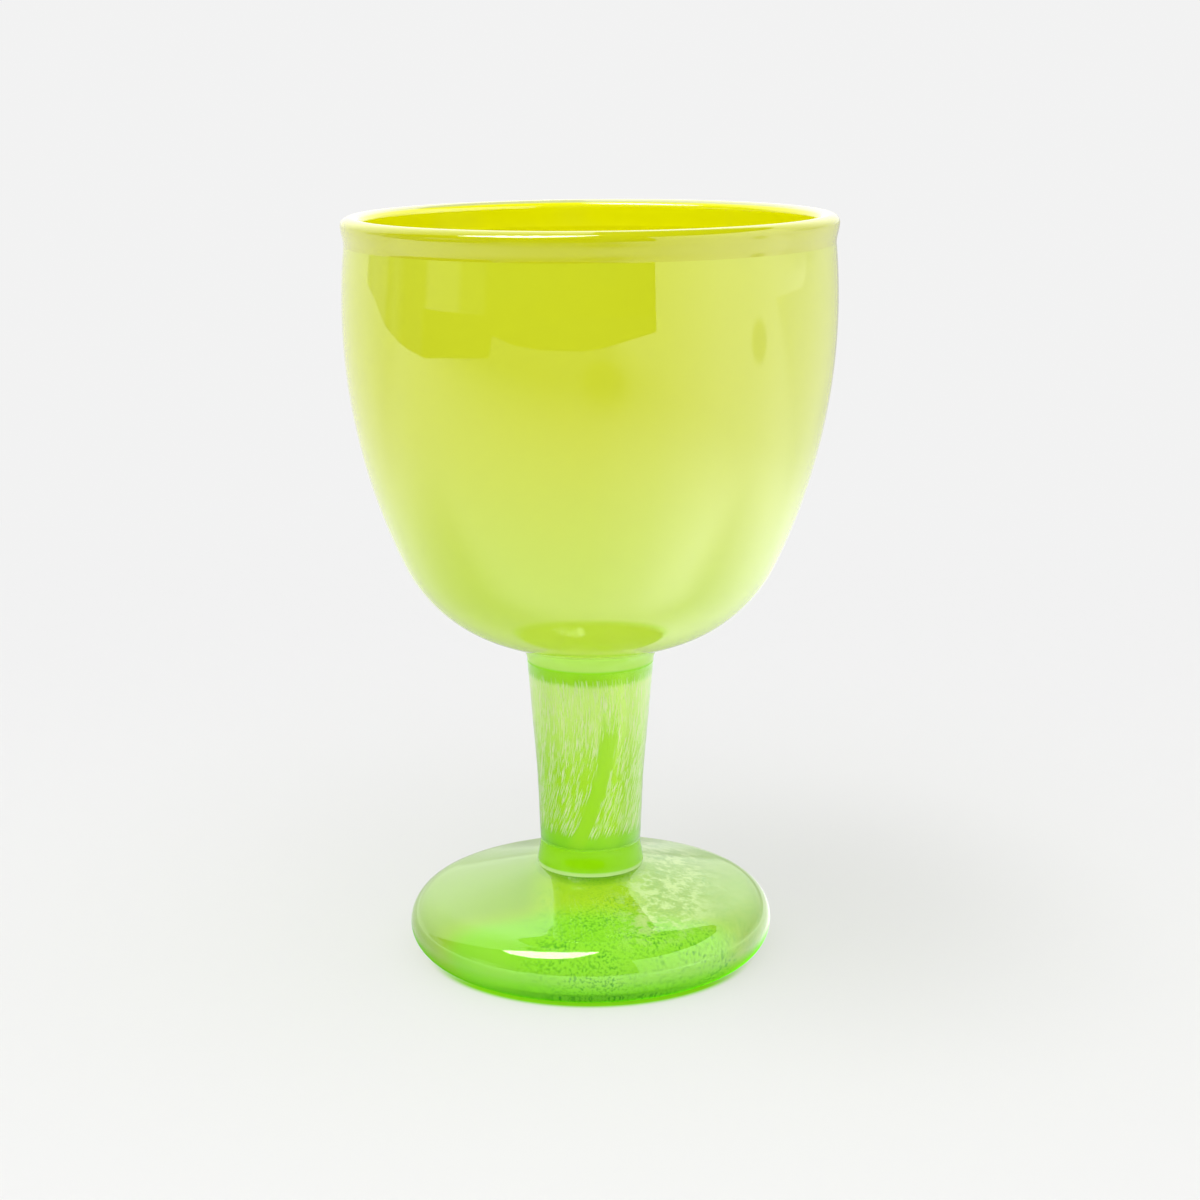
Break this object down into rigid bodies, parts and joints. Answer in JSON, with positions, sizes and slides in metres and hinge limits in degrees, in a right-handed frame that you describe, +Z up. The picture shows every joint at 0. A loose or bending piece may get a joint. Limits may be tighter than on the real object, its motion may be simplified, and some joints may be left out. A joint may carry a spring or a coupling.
{
  "type": "goblet",
  "caption": "Hand-blown layered glass goblet: deep rounded opaque lime-yellow bowl on a short thick green stem and a heavy round-edged green foot, for drinks.",
  "frame": {"origin": "on the axis of the goblet, in the plane of the ring on which it rests", "axes": "+Z up along the axis, from the foot to the lip; X and Y lie in the plane of the foot and are equal, because the goblet is round"},
  "size_m": [0.0952, 0.0952, 0.148],
  "materials": {
    "foot_clear_green": "polished clear green glass",
    "foot_powdered_green": "green glass with fine darker powder specks",
    "collar_clear_green": "polished clear green glass",
    "stem_clear_green": "polished clear green glass",
    "stem_streaked_green": "green glass with drawn-out pale streaks",
    "bowl_lime": "polished opal lime glass",
    "bowl_lining_yellow": "polished opaque yellow glass",
    "lip_yellow": "fire-polished yellow glass"
  },
  "bodies": {
    "root": {"foot_casing": "foot_clear_green", "foot_core": "foot_powdered_green", "foot_collar": "collar_clear_green", "stem_casing": "stem_clear_green", "stem_core": "stem_streaked_green", "bowl_collar": "collar_clear_green", "bowl_casing": "bowl_lime", "bowl_lining": "bowl_lining_yellow", "lip": "lip_yellow"}
  },
  "joints": []
}
